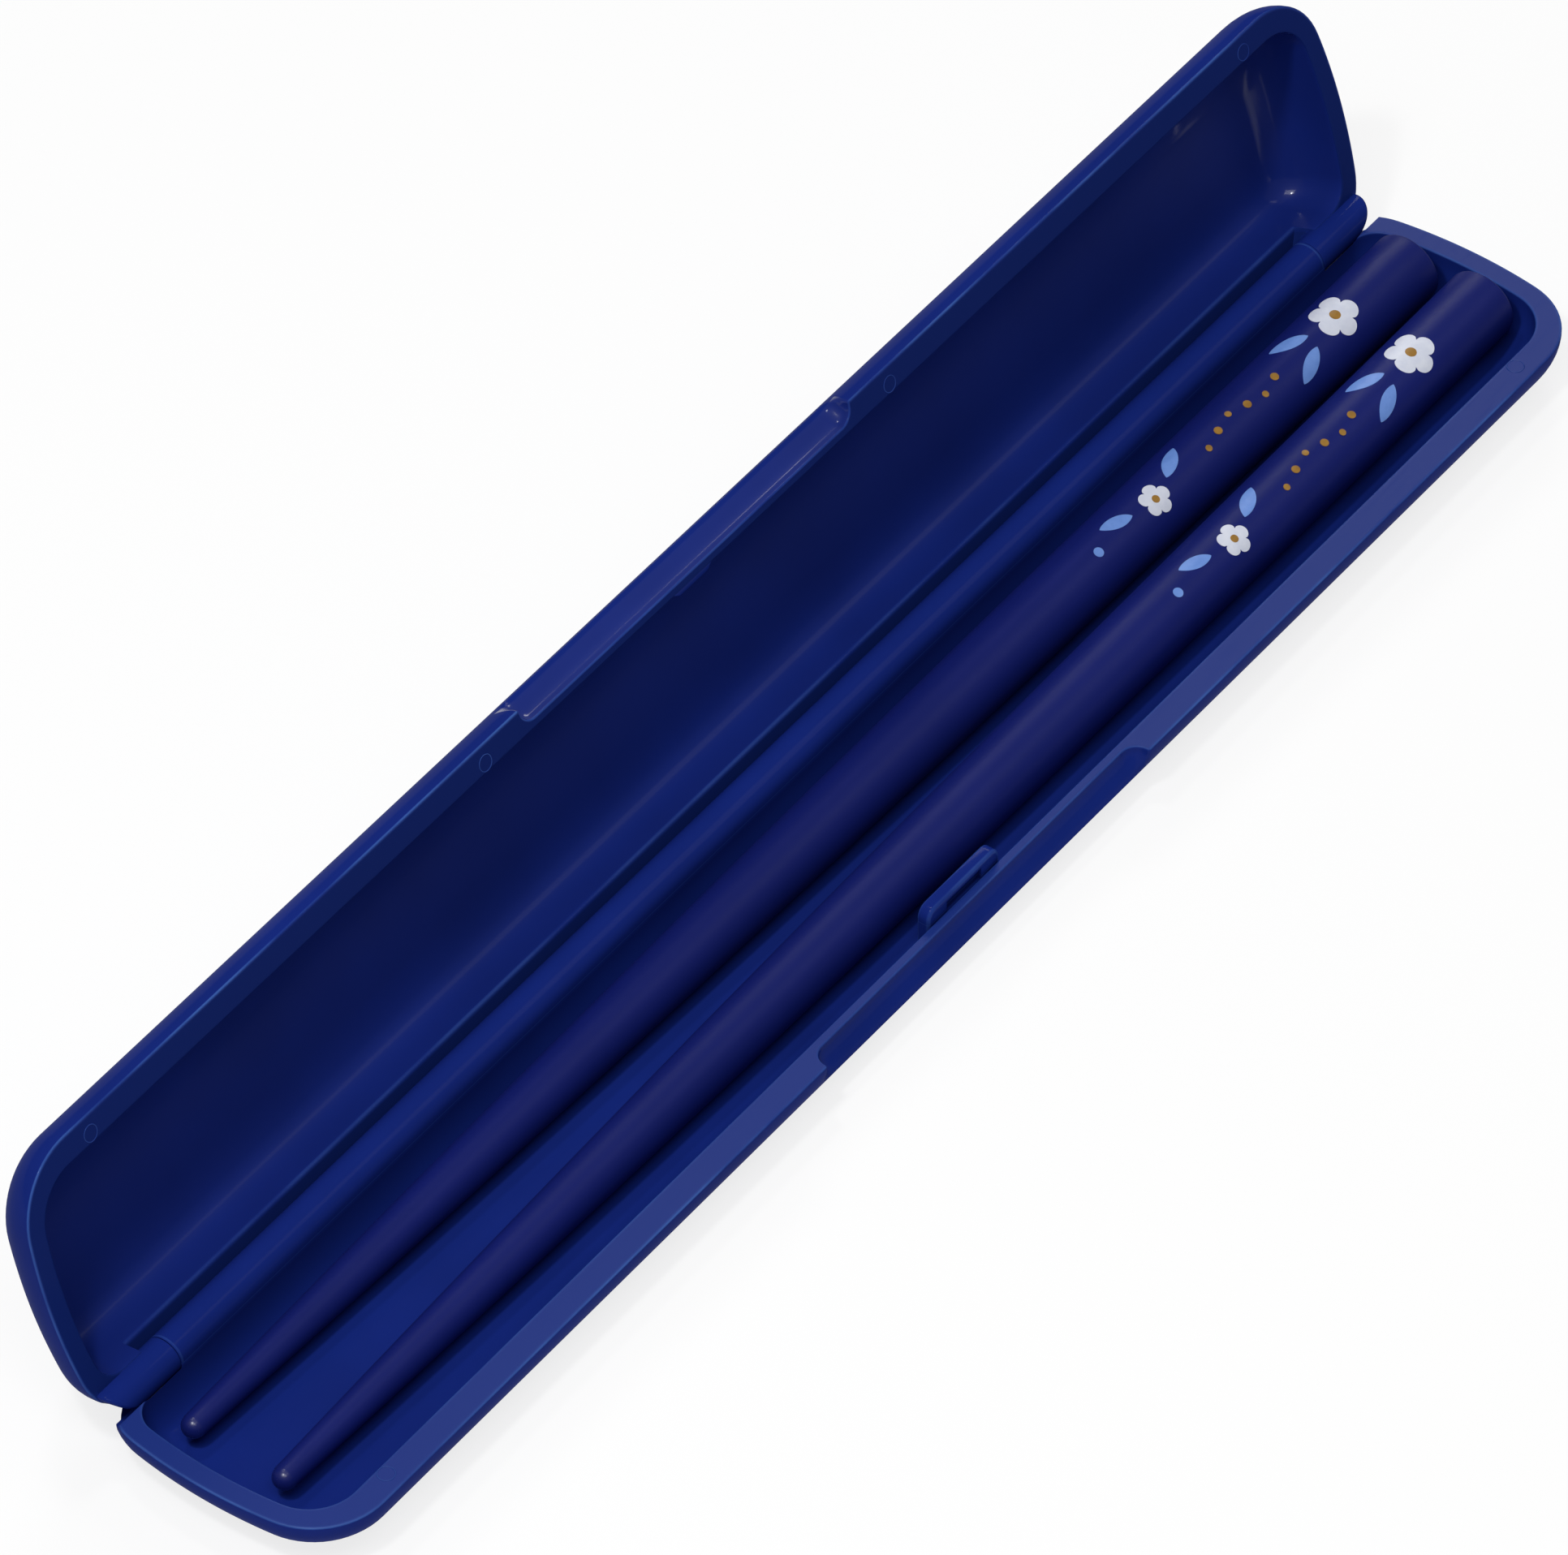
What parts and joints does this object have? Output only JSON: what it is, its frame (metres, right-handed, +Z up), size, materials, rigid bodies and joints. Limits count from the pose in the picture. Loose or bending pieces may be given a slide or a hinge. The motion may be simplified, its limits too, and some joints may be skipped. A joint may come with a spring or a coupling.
{
  "type": "chopstick travel case",
  "caption": "Slim hinged hard case with a domed lid, a shallow tray, a front snap latch with finger recesses, and a pair of tapered chopsticks lying in the tray.",
  "frame": {"origin": "middle of the flat underside of the base", "axes": "+X along the case towards the handles of the chopsticks, +Y towards the hinge, +Z up"},
  "size_m": [0.19, 0.0385, 0.0309],
  "materials": {
    "shell": "glossy moulded navy plastic",
    "chopstick": "satin navy lacquer with a small printed pattern on the handle",
    "pin": "drawn steel"
  },
  "bodies": {
    "base": {"base_shell": "shell"},
    "lid": {"lid_shell": "shell", "hinge_pin_left": "pin", "hinge_pin_right": "pin"},
    "front_stick": {"chopstick_front": "chopstick"},
    "rear_stick": {"chopstick_rear": "chopstick"}
  },
  "joints": [
    {"name": "lid_hinge", "type": "hinge", "parent": "base", "child": "lid", "pos_m": [0, 0.01195, 0.0063], "axis": [1, 0, 0], "range_deg": [0, 107]},
    {"name": "chopstick_front_lift", "type": "slide", "parent": "base", "child": "front_stick", "axis": [0, 0, 1], "range_m": [0, 0.04]},
    {"name": "chopstick_rear_lift", "type": "slide", "parent": "base", "child": "rear_stick", "axis": [0, 0, 1], "range_m": [0, 0.04]}
  ]
}
